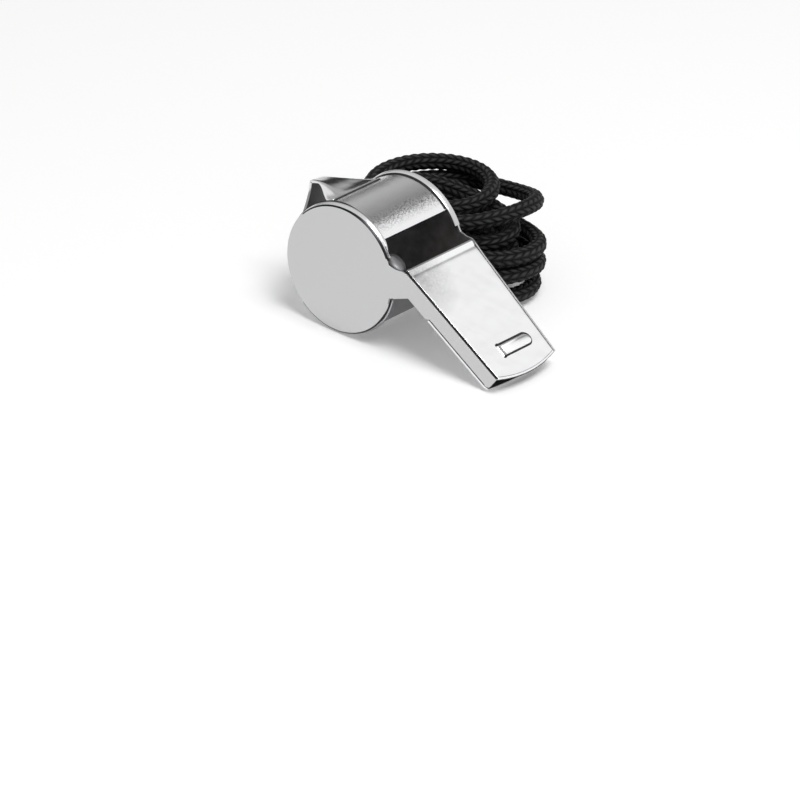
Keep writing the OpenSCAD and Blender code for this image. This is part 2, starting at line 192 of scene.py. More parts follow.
def finish_mesh(thing: bpy.types.Object, *modifiers: tuple[str, dict]) -> bpy.types.Object:
    """Runs modifiers on an object and keeps the plain mesh that they give.

    Args:
        thing: the object.
        modifiers: pairs of modifier type and settings, in order.

    Returns:
        The same object with a plain mesh.
    """
    for kind, settings in modifiers:
        modifier = thing.modifiers.new(kind.title(), kind)
        for key, value in settings.items():
            setattr(modifier, key, value)
    evaluated = thing.evaluated_get(bpy.context.evaluated_depsgraph_get())
    plain = bpy.data.meshes.new_from_object(evaluated)
    thing.modifiers.clear()
    thing.data = plain
    return thing


def wall_sheet(thing: bpy.types.Object, wall_mm: float, edge_mm: float, segments: int = 2,
               weld_mm: float = 0.0) -> bpy.types.Object:
    """Gives a sheet its wall, inwards, and softens its edges. The inner side has the object's second finish.

    Args:
        thing: the open sheet, with its faces outwards.
        wall_mm: how thick the wall is.
        edge_mm: how wide an edge is rounded.
        segments: how many faces make that rounding.
        weld_mm: how near to each other points are joined first, or 0 to leave them.

    Returns:
        The same object with a plain mesh.
    """
    weld = [("WELD", {"merge_threshold": weld_mm * MM})] if weld_mm else []
    return finish_mesh(
        thing, *weld, ("SOLIDIFY", {"thickness": wall_mm * MM, "offset": -1.0, "material_offset": 1}),
        ("BEVEL", {"width": edge_mm * MM, "segments": segments, "limit_method": "ANGLE",
                   "angle_limit": math.radians(60)}))


# Finishes


@dataclass(frozen=True)
class Bloom:
    """A mottled grey patch in the shine: darker specks that fade out with distance from a spot."""

    colour: str
    at_mm: Point
    reach_mm: float = 9.0
    speck_mm: float = 0.45
    along_y: bool = False
    speck_from: float = 0.46
    speck_to: float = 0.6
    softness: float = 0.6

    def share(self, tree: bpy.types.NodeTree, place: bpy.types.NodeSocket) -> bpy.types.Node:
        """Adds the nodes that give the bloom's strength at a point.

        Args:
            tree: the material's tree.
            place: the point, in object coordinates.

        Returns:
            The node whose first output runs from 0, where the shine is clean, to 1.
        """
        spread = add_node(tree, VECTOR_MATH, (place, (1.0, 0.0 if self.along_y else 1.0, 1.0)),
                          operation="MULTIPLY")
        away = add_node(tree, VECTOR_MATH, (spread, Vector(self.at_mm) * MM), operation="DISTANCE")
        near = add_node(tree, MAP_RANGE, {"Value": away.outputs["Value"], "From Max": self.reach_mm * MM,
                                          "To Min": 1.0, "To Max": 0.0})
        specks = add_node(tree, NOISE, {"Vector": place, "Scale": 1 / (self.speck_mm * MM), "Detail": 4.0})
        if self.along_y:
            mottle = add_node(tree, MAP_RANGE, {"Value": specks, "From Min": self.speck_from,
                                                "From Max": self.speck_to})
        else:
            mottle = add_node(tree, MATH, (specks, self.softness), operation="POWER")
        return add_node(tree, MATH, (near, mottle), operation="MULTIPLY", use_clamp=True)


@dataclass(frozen=True)
class PolishedSheet:
    """Stainless sheet, pressed and then buffed: mirror-like, with the faint waviness that buffing leaves.

    The grit of a real buff is too fine to show from here, so it is drawn as coarse as it needs to show.
    """

    name: str
    colour: str
    roughness: float
    wave_mm: float = 3.0
    wave_depth: float = 0.02
    # a real buff leaves grit marks of a few hundredths, too fine to show, so these are drawn coarser
    grit_mm: float = 0.16
    grit_depth: float = 0.03
    bloom: Bloom | None = None

    def build(self) -> bpy.types.Material:
        """Builds the material.

        Returns:
            The material.
        """
        material, tree, shader = new_material(self.name)
        shader.inputs["Base Color"].default_value = linear(self.colour)
        shader.inputs["Metallic"].default_value = 1.0
        shader.inputs["Roughness"].default_value = self.roughness
        place = add_node(tree, "ShaderNodeTexCoord").outputs["Object"]
        under = {}
        wave, grit = (self.wave_mm, self.wave_depth, 1.0), (self.grit_mm, self.grit_depth, 2.0)
        for size, depth, detail in (wave, grit):
            noise = add_node(tree, NOISE, {"Vector": place, "Scale": 1 / (size * MM), "Detail": detail})
            bump = add_node(tree, "ShaderNodeBump", {"Height": noise, "Strength": depth,
                                                     "Distance": size * MM, **under})
            under = {"Normal": bump}
        tree.links.new(bump.outputs[0], shader.inputs["Normal"])
        if self.bloom:
            mix = add_node(tree, MIX, {"Factor": self.bloom.share(tree, place), "A": linear(self.colour),
                                       "B": linear(self.bloom.colour)}, data_type="RGBA")
            tree.links.new(mix.outputs["Result"], shader.inputs["Base Color"])
        return material


@dataclass(frozen=True)
class DullSheet:
    """The inside of the sheet, which the buffing wheel doesn't reach: blurred and slightly stained."""

    name: str = "unbuffed stainless inside"
    colour: str = "eaeaec"
    stain: str = "8c8c8e"
    metallic: float = 1.0
    roughness: float = 0.5
    stain_mm: float = 2.2

    def build(self) -> bpy.types.Material:
        """Builds the material.

        Returns:
            The material.
        """
        material, tree, shader = new_material(self.name)
        shader.inputs["Metallic"].default_value = self.metallic
        shader.inputs["Roughness"].default_value = self.roughness
        place = add_node(tree, "ShaderNodeTexCoord").outputs["Object"]
        spots = add_node(tree, NOISE, {"Vector": place, "Scale": 1 / (self.stain_mm * MM), "Detail": 3.0})
        mix = add_node(tree, MIX, {"Factor": spots, "A": linear(self.stain), "B": linear(self.colour)},
                       data_type="RGBA")
        tree.links.new(mix.outputs["Result"], shader.inputs["Base Color"])
        return material


@dataclass(frozen=True)
class Cork:
    """Pressed cork granules with a dull, dry surface and dark seams between the grains."""

    name: str = "agglomerated cork"
    light: str = "a58c70"
    dark: str = "57463a"
    dark_from: float = 0.75
    grain_mm: float = 0.9
    seam_mm: float = 0.1

    def build(self) -> bpy.types.Material:
        """Builds the material.

        Returns:
            The material.
        """
        material, tree, shader = new_material(self.name)
        shader.inputs["Roughness"].default_value = 0.85
        place = add_node(tree, "ShaderNodeTexCoord").outputs["Object"]
        grain = add_node(tree, "ShaderNodeTexVoronoi", {"Vector": place, "Scale": 1 / (self.grain_mm * MM)})
        ramp = add_node(tree, "ShaderNodeValToRGB", {"Fac": grain})
        ramp.color_ramp.elements[0].color = linear(self.light)
        ramp.color_ramp.elements[1].color = linear(self.dark)
        ramp.color_ramp.elements[1].position = self.dark_from
        tree.links.new(ramp.outputs["Color"], shader.inputs["Base Color"])
        bump = add_node(tree, "ShaderNodeBump", {"Height": grain, "Strength": 0.5,
                                                 "Distance": self.seam_mm * MM}, invert=True)
        tree.links.new(bump.outputs[0], shader.inputs["Normal"])
        return material


@dataclass(frozen=True)
class BraidedNylon:
    """Black braided nylon cord: rows of slanted stitches that catch soft lights on black yarn, with a painted
    sheen coloured onto their crests.

    The pattern follows the cord's own map, U along it in millimetres and V round it from 0 to 1.
    """

    name: str = "braided nylon"
    colour: str = "060606"
    painted_sheen_colour: str = "3c3c3e"
    columns: int = 8
    stitch_mm: float = 1.5
    slant: float = 0.42
    yarns: int = 4
    yarn_share: float = 0.05
    relief_mm: float = 0.28

    def build(self) -> bpy.types.Material:
        """Builds the material.

        Returns:
            The material.
        """
        material, tree, shader = new_material(self.name)
        shader.inputs["Roughness"].default_value = 0.6
        shader.inputs["Specular IOR Level"].default_value = 0.12
        split = add_node(tree, "ShaderNodeSeparateXYZ", (add_node(tree, "ShaderNodeUVMap", uv_map="UVMap"),))
        # where the point lies in its column of stitches, from -0.5 to 0.5
        column = add_node(tree, MATH, (split.outputs["Y"], float(self.columns)), operation="MULTIPLY")
        fraction = add_node(tree, MATH, (column,), operation="FRACT")
        inside = add_node(tree, MATH, (fraction, 0.5), operation="SUBTRACT")
        # stitches lean one way in even columns and the other way in odd ones
        whole = add_node(tree, MATH, (column,), operation="FLOOR")
        odd = add_node(tree, MATH, (whole, 2.0), operation="FLOORED_MODULO")
        way = add_node(tree, MATH, (odd, 2.0, -1.0), operation="MULTIPLY_ADD")
        turned = add_node(tree, MATH, (way, inside), operation="MULTIPLY")
        lean = add_node(tree, MATH, (turned, self.slant * 2), operation="MULTIPLY")
        stitches = add_node(tree, MATH, (split.outputs["X"], self.stitch_mm), operation="DIVIDE")
        run = add_node(tree, MATH, (stitches, lean), operation="ADD")
        # each stitch swells along the cord and across its column
        beat = add_node(tree, MATH, (run, math.pi), operation="MULTIPLY")
        swing = add_node(tree, MATH, (beat,), operation="SINE")
        wave = add_node(tree, MATH, (swing,), operation="ABSOLUTE")
        spread = add_node(tree, MATH, (inside, math.pi), operation="MULTIPLY")
        across = add_node(tree, MATH, (spread,), operation="COSINE")
        swell = add_node(tree, MATH, (wave, across), operation="MULTIPLY")
        stitch = add_node(tree, MATH, (swell, 0.5), operation="POWER")
        # the yarns of a stitch show as fine ridges
        turns = add_node(tree, MATH, (run, 2 * math.pi * self.yarns), operation="MULTIPLY")
        yarn = add_node(tree, MATH, (turns,), operation="SINE")
        height = add_node(tree, MATH, (yarn, self.yarn_share, stitch), operation="MULTIPLY_ADD")
        # painted sheen: the stitches' crests are coloured lighter than the black yarn
        crown = add_node(tree, MATH, (stitch, 3.0), operation="POWER")
        mix = add_node(tree, MIX, {"Factor": crown, "A": linear(self.colour), "B": linear(self.painted_sheen_colour)},
                       data_type="RGBA")
        tree.links.new(mix.outputs["Result"], shader.inputs["Base Color"])
        bump = add_node(tree, "ShaderNodeBump", {"Height": height, "Strength": 0.9,
                                                 "Distance": self.relief_mm * MM})
        tree.links.new(bump.outputs[0], shader.inputs["Normal"])
        return material


class Finish(Enum):
    """The finishes of this object, by piece."""

    # pressed stainless, buffed: a mirror on the plate, softer on the round pieces; the same steel is coloured
    # lighter on the strip, the plate and the strap than on the cheeks: painted light
    CHEEK = PolishedSheet("buffed stainless cheek", "c9c9ca", 0.2, wave_depth=0.01)
    SHELL = PolishedSheet("buffed stainless strip", "f2f2f3", 0.2, grit_mm=0.2, grit_depth=0.14,
                          bloom=Bloom("8e8e90", (-4.8, 0.0, 20.95), 2.3, 0.22, along_y=True))
    PLATE = PolishedSheet("buffed stainless plate", "fafafb", 0.19, grit_depth=0.05,
                          bloom=Bloom("949496", (4.6, -8.5, 15.2)))
    STRAP = PolishedSheet("buffed stainless strap", "e4e4e5", 0.12)
    # on the inside, the same sheet where the wheel doesn't reach: grey and blurred; the rim's turn, the
    # window tab and the throat get darker copies as painted shade
    RIM_SHADE = PolishedSheet("painted shade along the rim's turn", "38383a", 0.3)
    INSIDE = DullSheet()
    TAB = DullSheet("painted shade on the tab and the strap's inside", "8c8c8e", "5a5a5b")
    THROAT_SHADE = DullSheet("painted shade on the throat", "a4a4a6", "88888a", roughness=0.35)
    # painted shade: a black matt film, without a metal's colour, on the seam lines and inside the mouthpiece
    CREASE = DullSheet("painted shade in seams and the mouthpiece", "1c1c1d", "0c0c0c", 0.0, 0.7)
    # pressed cork: dull and dry, with dark seams between its grains
    CORK = Cork()
    # braided nylon: black yarn whose slanted stitches catch soft lights, with a painted sheen on their crests
    BRAID = BraidedNylon()
    # bright fittings with a warm cast, and greyer turned pins
    NICKEL = PolishedSheet("nickel-plated fittings", "d3d0c9", 0.2)
    TURNED = PolishedSheet("turned steel pins", "a8a8aa", 0.28)


MADE: dict[Finish, bpy.types.Material] = {}


def finish(kind: Finish) -> bpy.types.Material:
    """The material of a finish, built the first time it is asked for.

    Args:
        kind: the finish.

    Returns:
        The material.
    """
    if kind not in MADE:
        MADE[kind] = kind.value.build()
    return MADE[kind]


# The whistle


@dataclass(frozen=True)
class Bead:
    """One uneven bead of solder along a root of the strap: its angle about the barrel, and millimetres."""

    name: str
    angle: float
    y_from: float
    y_to: float
    radius: float
    span: int  # how many random steps are averaged: more of them make a smoother bead
    unevenness: float = 0.38
    steps: int = 60
    sides: int = 8


@dataclass
class Whistle:
    """The metal whistle.

    Sizes are in millimetres about the barrel's axis, with x towards the tip and z square to the top plate.
    """

    cheek_r: float = 11.35
    half_w: float = 9.5
    sheet: float = 0.45
    edge_r: float = 0.5
    flange: float = 1.25
    cheek_wall: float = 0.3
    strip_r: float = 10.88
    plate_z: float = 10.74
    reach: float = 31.9
    bulge: float = 1.1
    low_z: float = 7.44
    knee: Flat = (11.929, 7.44)
    notch: tuple[Flat, ...] = ((8.3, 10.42), (7.35, 9.72), (6.15, 9.28), (5.75, 9.3))
    window_x: float = 8.5
    inset: float = 0.55
    taper: float = 1.1 / 23.4
    bend_x: float = 4.5
    step_x: float = 16.7
    corner_x: float = 31.2
    tip_r: float = 0.8
    floor_tip_r: float = 0.9
    groove: float = 0.3
    arm_gap: float = 0.32
    play: float = 0.02
    tilt: float = 33.0664
    mid_x: float = 9.92132
    lip_angle: float = 79.0
    strip_to: float = 384.0
    arc_from: float = 63.0
    arc_to: float = 385.0
    # each ring of a flange: how far in, how far back, and how far back where its edge is worn, at the window
    near_rings: tuple[Point, ...] = (
        (0.4, 0.03, 0.13), (0.3, 0.1, 0.28), (0.24, 0.22, 0.42), (0.21, 0.34, 0.54), (0.1, 0.7, 0.82),
        (0.02, 1.0, 1.06), (0.0, 1.25, 1.25))
    far_rings: tuple[Point, ...] = (
        (0.4, 0.03, 0.03), (0.26, 0.1, 0.1), (0.1, 0.2, 0.2), (0.0, 0.34, 0.34), (0.05, 0.6, 0.6),
        (0.14, 0.95, 0.95), (0.24, 1.25, 1.25))
    # rings of the flange's turn nearer the face than this, outside the bright stretch, take painted shade
    dark_turn: float = 0.3
    bright_from: float = 172.0
    bright_to: float = 262.0
    throat_shade_rows: tuple[int, int] = (106, 137)
    windway_x: float = 10.0
    tooth_x: float = 27.85
    tooth_half: float = 1.15
    tooth_near: float = -2.65
    tooth_far: float = 3.65
    tooth_high: float = 0.55
    strap_wall: float = 0.5
    strap_root_r: float = 10.95
    strap_top: float = 150.0
    strap_low: float = 215.0
    strap_ridge: Flat = (-16.0, 0.15)
    strap_half: float = 1.75
    strap_root_half: float = 6.1
    beads: tuple[Bead, ...] = (Bead("solder_top", 149.0, -6.4, 5.6, 0.23, 9),
                               Bead("solder_low", 216.0, -6.2, 5.4, 0.2, 21))

    def place(self, x: float, y: float, z: float) -> Vector:
        """Puts a point of the level whistle, in millimetres, into the rest pose.

        Args:
            x: towards the tip.
            y: towards the far cheek.
            z: square to the top plate.

        Returns:
            The point in metres.
        """
        a = math.radians(self.tilt)
        return Vector((x * math.cos(a) + z * math.sin(a) - self.mid_x, y,
                       self.cheek_r - x * math.sin(a) + z * math.cos(a))) * MM

    def on_barrel(self, angle: float, radius: float, y: float) -> Point:
        """The point at an angle, in degrees, and a radius about the barrel's axis."""
        a = math.radians(angle)
        return radius * math.cos(a), y, radius * math.sin(a)

    def arm_y(self, x: float) -> float:
        """How far out the arm's outer face lies at x, past the bend."""
        return self.half_w - self.inset - self.taper * (x - self.window_x)

    def from_axis(self, spot: Vector) -> Vector:
        """The direction from the barrel's axis to a spot in the rest pose.

        Args:
            spot: the point in metres.

        Returns:
            The direction, square to the axis.
        """
        away = spot - self.place(0, 0, 0)
        away.y = 0
        return away

    def upwards(self, _spot: Vector) -> Vector:
        """The direction square to the top plate, which is the same everywhere."""
        return self.place(0, 0, 1) - self.place(0, 0, 0)

    def keep(self, thing: bpy.types.Object, *nodes: str, slot: str = "shell") -> None:
        """Lets a finished piece ride on the whistle and stand for its CAD nodes.

        Args:
            thing: the piece.
            nodes: the CAD nodes that it stands for.
            slot: not used.
        """
        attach(thing, "whistle")
        if nodes:
            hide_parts(*nodes)
        LOG.info("%s: %d faces", thing.name, len(thing.data.polygons))

    def cheek_outline(self) -> tuple[list[Flat], int]:
        """The flat outline of a cheek with its arm, in x and z.

        Returns:
            The outline's points, and how many of the first ones lie on the round that carries the flange.
        """
        r = self.cheek_r - self.edge_r
        steps = 120
        turned = self.arc_to - self.arc_from
        angles = [math.radians(self.arc_from + turned * i / steps) for i in range(steps + 1)]
        outline = [(r * math.cos(a), r * math.sin(a)) for a in angles]
        on_round = len(outline)
        # the arm's lower edge, its round corner at the tip, its upper edge and the notch beside the window
        low, top = self.low_z + self.sheet + 0.05, self.plate_z - 0.16
        outline += [self.knee, (self.step_x - 0.25, self.low_z), (self.step_x, low)]
        outline += [(self.step_x + (self.reach - 0.9 - self.step_x) * i / 12, low) for i in range(1, 13)]
        for a in (math.radians(15 * i) for i in range(1, 7)):
            outline.append((self.reach - self.tip_r + self.tip_r * math.sin(a),
                            low + self.tip_r - self.tip_r * math.cos(a)))
        outline += [(self.reach - (self.reach - self.window_x - 0.3) * i / 24, top) for i in range(25)]
        return outline + list(self.notch), on_round

    def face_depth(self, x: float, z: float) -> float:
        """How far the face lies in from the cheek's outermost plane at a point.

        Args:
            x: towards the tip.
            z: square to the top plate.

        Returns:
            The depth in millimetres: none on the round, then an easy bend into the arm.
        """
        if x <= self.bend_x:
            return 0.0
        end = self.knee[0]
        if x >= end:
            return self.half_w - self.arm_y(x)
        at_knee = self.half_w - self.arm_y(end)
        t = (x - self.bend_x) / (end - self.bend_x)
        cubic = self.taper * (end - self.bend_x) - 2 * at_knee
        depth = (at_knee - cubic) * t * t + cubic * t**3
        # the bend fades out towards the rim, below the arm and at the window
        angle = math.degrees(math.atan2(z, x))
        return depth * (smooth_step((angle - 2) / 22) * smooth_step((74 - angle) / 14))

    def rim_y(self, near: bool, angle: float, back: float, worn: float) -> float:
        """How far out a ring of the flange lies.

        Args:
            near: whether it is the near cheek, whose flange is trimmed beside the window.
            angle: the angle about the barrel, in degrees.
            back: how far the ring stands back from the face.
            worn: how far it stands back where its edge is worn.

        Returns:
            The distance from the whistle's middle plane, in millimetres.
        """
        width = self.half_w - back - (worn - back) * smooth_step((128 - angle) / 30)
        least = 0.35
        if near and back > least:
            trimmed = smooth_step((angle - self.arc_from) / 15)
            width = self.half_w - least - (self.half_w - least - width) * (0.05 + 0.95 * trimmed)
        return width

    def cheek(self, side: int) -> bpy.types.Object:
        """Builds one cheek with its arm and its turned flange.

        Args:
            side: -1 for the near one and 1 for the far one.

        Returns:
            The cheek.
        """
        outline, on_round = self.cheek_outline()
        poly = np.array(outline)
        step = 0.8
        inner = [(x, z) for i, x in enumerate(np.arange(-11, 32.2, step))
                 for z in np.arange(-11 + (i % 2) * step / 2, 11, step) if self.inside(poly, x, z, step / 2)]
        points = [Vector(p) for p in outline + inner]
        edges = [(i, (i + 1) % len(outline)) for i in range(len(outline))]
        flat, _, faces, origin, _, _ = delaunay_2d_cdt(points, edges, [], 1, 1e-6)
        verts = [self.place(p.x, side * (self.half_w - self.face_depth(p.x, p.y)), p.y) for p in flat]
        where = {o: i for i, group in enumerate(origin) for o in group}
        faces = [list(f) for f in faces]
        # a tight turn off the face, then a flange that opens by a few degrees
        last = [where[i] for i in range(on_round)]
        angles = [math.degrees(math.atan2(z, x)) % 360 for x, z in outline[:on_round]]
        unbuffed = set()
        for down, back, worn in self.near_rings if side < 0 else self.far_rings:
            now = []
            for angle, (x, z) in zip(angles, outline):
                k = (self.cheek_r - down) / math.hypot(x, z)
                now.append(len(verts))
                verts.append(self.place(x * k, side * self.rim_y(side < 0, angle, back, worn), z * k))
            for i in range(on_round - 1):
                # these faces of the flange's turn take the dark rim finish, which is painted shade
                if back < self.dark_turn and not self.bright_from < angles[i] < self.bright_to:
                    unbuffed.add(len(faces))
                faces.append([last[i], last[i + 1], now[i + 1], now[i]])
            last = now
        thing = mesh_object("cheek_near" if side < 0 else "cheek_far", verts, faces, finish(Finish.CHEEK), 40)
        thing.data.materials.append(finish(Finish.INSIDE))
        thing.data.materials.append(finish(Finish.RIM_SHADE))
        for face in thing.data.polygons:
            if face.index in unbuffed:
                face.material_index = 2
        turn_faces(thing, lambda _spot: Vector((0, side, 0)))
        return wall_sheet(thing, self.cheek_wall, 0.05)

    @staticmethod
    def inside(poly: np.ndarray, x: float, z: float, margin: float) -> bool:
        """Whether a point lies inside an outline and at least a margin away from its edge.

        Args:
            poly: the outline's points.
            x: the point's first coordinate.
            z: its second one.
            margin: the least distance from the edge.

        Returns:
            True where it does.
        """
        a, b = poly, np.roll(poly, -1, axis=0)
        run = b - a
        t = np.clip(((x - a[:, 0]) * run[:, 0] + (z - a[:, 1]) * run[:, 1]) / (run**2).sum(1), 0, 1)
        if np.hypot(a[:, 0] + t * run[:, 0] - x, a[:, 1] + t * run[:, 1] - z).min() < margin:
            return False
        crossing = (a[:, 1] > z) != (b[:, 1] > z)
        at = a[:, 0] + (z - a[:, 1]) / np.where(crossing, run[:, 1], 1) * run[:, 0]
        return bool((crossing & (x < at)).sum() % 2)

    def strip_line(self) -> list[Flat]:
        """The strip's outer line, seen from the side.

        Returns:
            Its points in x and z: lip, round the barrel, throat, knee and mouthpiece floor.
        """
        steps = 132
        turned = self.strip_to - self.lip_angle
        arc = [math.radians(self.lip_angle + turned * i / steps) for i in range(steps + 1)]
        line = [(self.strip_r * math.cos(a), self.strip_r * math.sin(a)) for a in arc]
        end_x, end_z = line[-1]
        knee_x, knee_z = self.knee
        line += [(end_x + (knee_x - end_x) * t, end_z + (knee_z - end_z) * t) for t in (0.3, 0.6, 0.9, 0.97)]
        floor = [knee_x + 0.12, 14.0, self.step_x, self.step_x + 0.2, *range(18, 32, 2), self.corner_x, 31.75,
                 self.reach]
        return line + [(x, knee_z) for x in floor]

    def strip_half(self, x: float, z: float) -> float:
        """Half of the strip's width at a point of its line.

        Args:
            x: towards the tip.
            z: square to the top plate.

        Returns:
            The half width in millimetres: between the cheeks, between the arms, then past them, with round
            corners.
        """
        throat_x, throat_z = 9.5, 4.6
        if x < throat_x or z < throat_z:
            return self.half_w - self.sheet - self.play
        if x < self.step_x + 0.1:
            return self.arm_y(max(x, throat_x)) - self.arm_gap
        corner = max(0.0, x - self.corner_x)
        trim = self.floor_tip_r - math.sqrt(max(0.0, self.floor_tip_r**2 - corner * corner))
        return self.arm_y(x) + self.play - trim

    def strip(self) -> bpy.types.Object:
        """Builds the barrel strip with the mouthpiece floor.

        Returns:
            The strip, with painted shade on its throat and inside its mouthpiece.
        """
        line = self.strip_line()
        across = 24
        verts = []
        for x, z in line:
            half = self.strip_half(x, z)
            reach = 0.33 * smooth_step((x - 30) / 1.9)
            for s in (2 * j / across - 1 for j in range(across + 1)):
                verts.append(self.place(x + reach * (1 - s**2), half * s, z))
        thing = mesh_object("barrel_strip", verts, grid_faces(len(line), across), finish(Finish.SHELL), 50)
        thing.data.materials.append(finish(Finish.INSIDE))
        thing.data.materials.append(finish(Finish.THROAT_SHADE))
        # the throat's rows take the darker throat finish: painted shade
        for face in thing.data.polygons:
            if face.index // across in range(*self.throat_shade_rows):
                face.material_index = 2
        turn_faces(thing, self.from_axis)
        return self.shade_windway(wall_sheet(thing, self.sheet, 0.06))

    def shade_windway(self, thing: bpy.types.Object) -> bpy.types.Object:
        """Paints shade on the inner faces of the mouthpiece, as a near-black finish.

        Args:
            thing: the strip or the plate, whose inner faces have its second finish.

        Returns:
            The same object.
        """
        thing.data.materials.append(finish(Finish.CREASE))
        dark = len(thing.data.materials) - 1
        for face in thing.data.polygons:
            if face.material_index == 1 and face.center.x > self.windway_x * MM:
                face.material_index = dark
        return thing

    def plate_height(self, x: float) -> float:
        """The plate's top surface: a rolled bead at the window edge with a shallow valley behind it.

        Args:
            x: towards the tip.

        Returns:
            The height in millimetres.
        """
        bead = 0.1 * math.exp(-(((x - 8.85) / 0.3) ** 2))
        valley = 0.05 * math.exp(-(((x - 9.75) / 0.35) ** 2))
        return self.plate_z + bead - valley

    def plate(self) -> bpy.types.Object:
        """Builds the top plate of the mouthpiece, with its rolled window edge and its convex tip.

        Returns:
            The plate, with painted shade on its underside in the mouthpiece.
        """
        xs = [8.5, 8.55, 8.65, 8.75, 8.85, 8.95, 9.05, 9.2, 9.35, 9.5, 9.65, 9.8, 9.95, 10.15, 10.4, 10.8]
        xs += [11.4 + i for i in range(20)] + [31.3, self.reach]
        xs += [self.reach + self.bulge * t for t in (0.34, 0.67, 1.0)]
        across = 28
        verts = []
        for x in xs:
            half = self.arm_y(min(x, self.reach)) - self.cheek_wall - self.groove
            for s in (2 * j / across - 1 for j in range(across + 1)):
                tip = max(0.0, x - self.reach) * (1 - s * s)
                verts.append(self.place(min(x, self.reach) + tip, s * half, self.plate_height(x)))
        thing = mesh_object("top_plate", verts, grid_faces(len(xs), across), finish(Finish.PLATE), 40)
        thing.data.materials.append(finish(Finish.INSIDE))
        turn_faces(thing, self.upwards)
        return self.shade_windway(wall_sheet(thing, self.sheet, 0.07, 3, weld_mm=0.01))

    def tooth_arc(self, x: float, r: float, steps: list[int]) -> list[Flat]:
        """Points, in x and y, of the ridge's round far end, at some twelfths of its half turn."""
        turns = [math.pi * k / 12 for k in steps]
        return [(x + r * math.cos(a), self.tooth_far + r * math.sin(a)) for a in turns]

    def tooth_ridge(self) -> bpy.types.Object:
        """Builds the pressed ridge across the plate, cut square at its near end and round at its far end.

        Returns:
            The ridge, open underneath, where it stands in the plate.
        """
        layers = [(0.0, -0.1), (0.05, 0.0), (0.18, 0.2), (0.3, 0.37), (0.42, 0.47), (0.57, 0.52),
                  (0.72, self.tooth_high)]
        verts, count = [], 0
        for inset, level in layers:
            r = self.tooth_half - inset
            near = self.tooth_near + inset * 0.35
            mid = self.tooth_x + 0.25 * level / self.tooth_high
            ring = [(mid - r, near), (mid + r, near), *self.tooth_arc(mid, r, list(range(13)))]
            count = len(ring)
            verts += [self.place(x, y, self.plate_z + level) for x, y in ring]
        faces = tube_faces(len(layers), count)
        del faces[-2]
        thing = mesh_object("tooth_ridge", verts, faces, finish(Finish.PLATE), 50)
        turn_faces(thing)
        return thing

    def window_tab(self) -> bpy.types.Object:
        """Builds the rounded tab that the near arm turns into the window, under the edge of the top plate.

        Returns:
            The tab, whose darker finish is painted shade.
        """
        outline = [(8.3, -9.1), (8.3, -7.3), (7.7, -6.75), (7.0, -6.4), (6.2, -6.25), (5.4, -6.35),
                   (4.8, -6.75), (4.4, -7.4), (4.2, -8.2), (4.3, -9.15)]
        crest = [(7.6, -7.9), (6.4, -7.3), (5.2, -7.7)]
        level, crown = 9.45, 0.22
        points = [Vector(p) for p in outline + crest]
        edges = [(i, (i + 1) % len(outline)) for i in range(len(outline))]
        flat, _, faces, origin, _, _ = delaunay_2d_cdt(points, edges, [], 1, 1e-6)
        verts = [self.place(p.x, p.y, level + (crown if min(o) >= len(outline) else 0.0))
                 for p, o in zip(flat, origin)]
        thing = mesh_object("window_tab", verts, [list(f) for f in faces], finish(Finish.TAB))
        turn_faces(thing, self.upwards)
        return finish_mesh(thing, ("SOLIDIFY", {"thickness": self.cheek_wall * MM, "offset": -1.0}))

    def strap_line(self) -> list[Flat]:
        """The strap's outer line, seen from the side.

        Returns:
            Its points in x and z: a bowed top leg, a tight bend at the ridge and a bowed back leg.
        """
        top_x, _, top_z = self.on_barrel(self.strap_top, self.strap_root_r, 0.0)
        low_x, _, low_z = self.on_barrel(self.strap_low, self.strap_root_r, 0.0)
        x, z = self.strap_ridge
        line = []
        for t in (i / 15 for i in range(15)):
            bow = 0.45 * math.sin(math.pi * t)
            line.append((top_x + (x - top_x) * t - bow * 0.7, top_z + (z - top_z) * t + bow * 0.7))
        line += [(x + 0.12, z + 0.14), (x, z - 0.05), (x + 0.03, z - 0.3)]
        for t in (i / 14 for i in range(1, 15)):
            bow = 0.7 * math.sin(math.pi * t)
            line.append((x + (low_x - x) * t - bow * 0.6, z - 0.3 + (low_z - z + 0.3) * t - bow * 0.5))
        return line

    def strap(self) -> bpy.types.Object:
        """Builds the bent strap, which widens to its roots and is softly creased along its top leg.

        Returns:
            The strap.
        """
        line = self.strap_line()
        across, top_rows = 20, 15
        near_slope, far_slope = 0.42, 0.16
        verts = []
        for i, (x, z) in enumerate(line):
            out = smooth_step((x + 15.9) / 6.6)
            half = self.strap_half + (self.strap_root_half - self.strap_half) * out
            # the crease runs from the ridge's near end to the root's middle, and never into the barrel
            crease = -0.55 - 0.3 * min(i, top_rows) / top_rows
            fade = (1 - smooth_step(1 - i / 3) * 0.9) * (1 - smooth_step((i - top_rows) / 10))
            room = max(0.02, 0.8 * (math.hypot(x, z) - self.strip_r - 0.05))
            for s in (2 * j / across - 1 for j in range(across + 1)):
                off = (s - crease) * half
                bend = math.sqrt(off * off + 0.05) - 0.22
                droop = room * (1 - math.exp(-bend * (near_slope if off < 0 else far_slope) * fade / room))
                verts.append(self.place(x + droop * 0.3, half * s - 0.4 * out, z - droop))
        thing = mesh_object("cord_strap", verts, grid_faces(len(line), across), finish(Finish.STRAP))
        # the strap's inner side takes the darker tab finish: painted shade
        thing.data.materials.append(finish(Finish.TAB))
        turn_faces(thing, self.from_axis)
        return wall_sheet(thing, self.strap_wall, 0.08)

